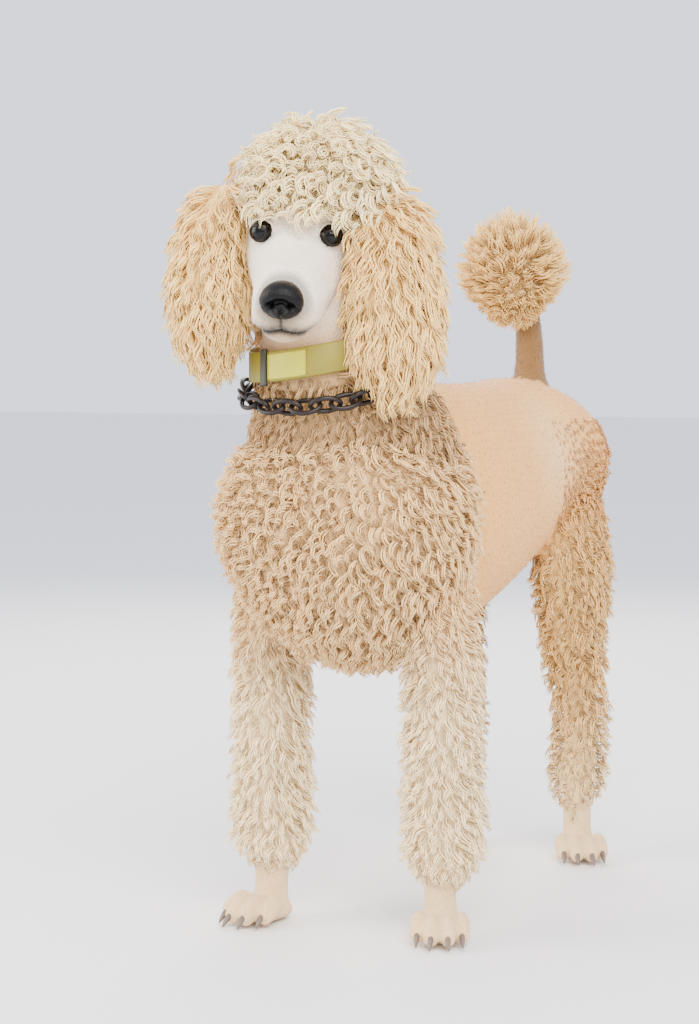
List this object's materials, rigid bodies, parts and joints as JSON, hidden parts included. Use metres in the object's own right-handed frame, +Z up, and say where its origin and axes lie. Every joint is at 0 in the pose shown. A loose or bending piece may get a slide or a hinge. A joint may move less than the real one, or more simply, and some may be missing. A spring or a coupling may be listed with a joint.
{
  "type": "standard poodle",
  "caption": "Standing standard poodle with a curly chest, rounded crown, long wavy ears, brushed legs and a plumed tail, wearing a band collar and a chain collar.",
  "frame": {"origin": "on the floor, at the middle of the model's box seen from above", "axes": "+Z up; the dog faces -Y; +X is the dog's own left"},
  "size_m": [0.326, 0.8044, 0.8768],
  "materials": {
    "coat_cream": "curly cream coat",
    "coat_apricot": "long wavy apricot coat",
    "coat_pale": "pale brushed coat",
    "coat_face": "closely clipped white coat",
    "paw_skin": "clipped skin of paws and tail, with dark nails",
    "nose_leather": "moist grained leather",
    "eye": "polished dark eye",
    "collar_band": "flat coated webbing",
    "collar_keeper": "dull moulded loop",
    "collar_chain": "dark blued steel wire"
  },
  "bodies": {
    "root": {"torso": "coat_cream", "neck": "coat_cream", "head": "coat_face", "nose": "nose_leather", "eye_left": "eye", "eye_right": "eye", "ear_left": "coat_apricot", "ear_right": "coat_apricot", "foreleg_left": "coat_pale", "foreleg_right": "coat_pale", "hindleg_left": "coat_pale", "hindleg_right": "coat_pale", "forepaw_left": "paw_skin", "forepaw_right": "paw_skin", "hindpaw_left": "paw_skin", "hindpaw_right": "paw_skin", "tail": "paw_skin", "tail_plume": "coat_apricot", "collar_band": "collar_band", "collar_keeper": "collar_keeper", "collar_chain": "collar_chain"}
  },
  "joints": []
}
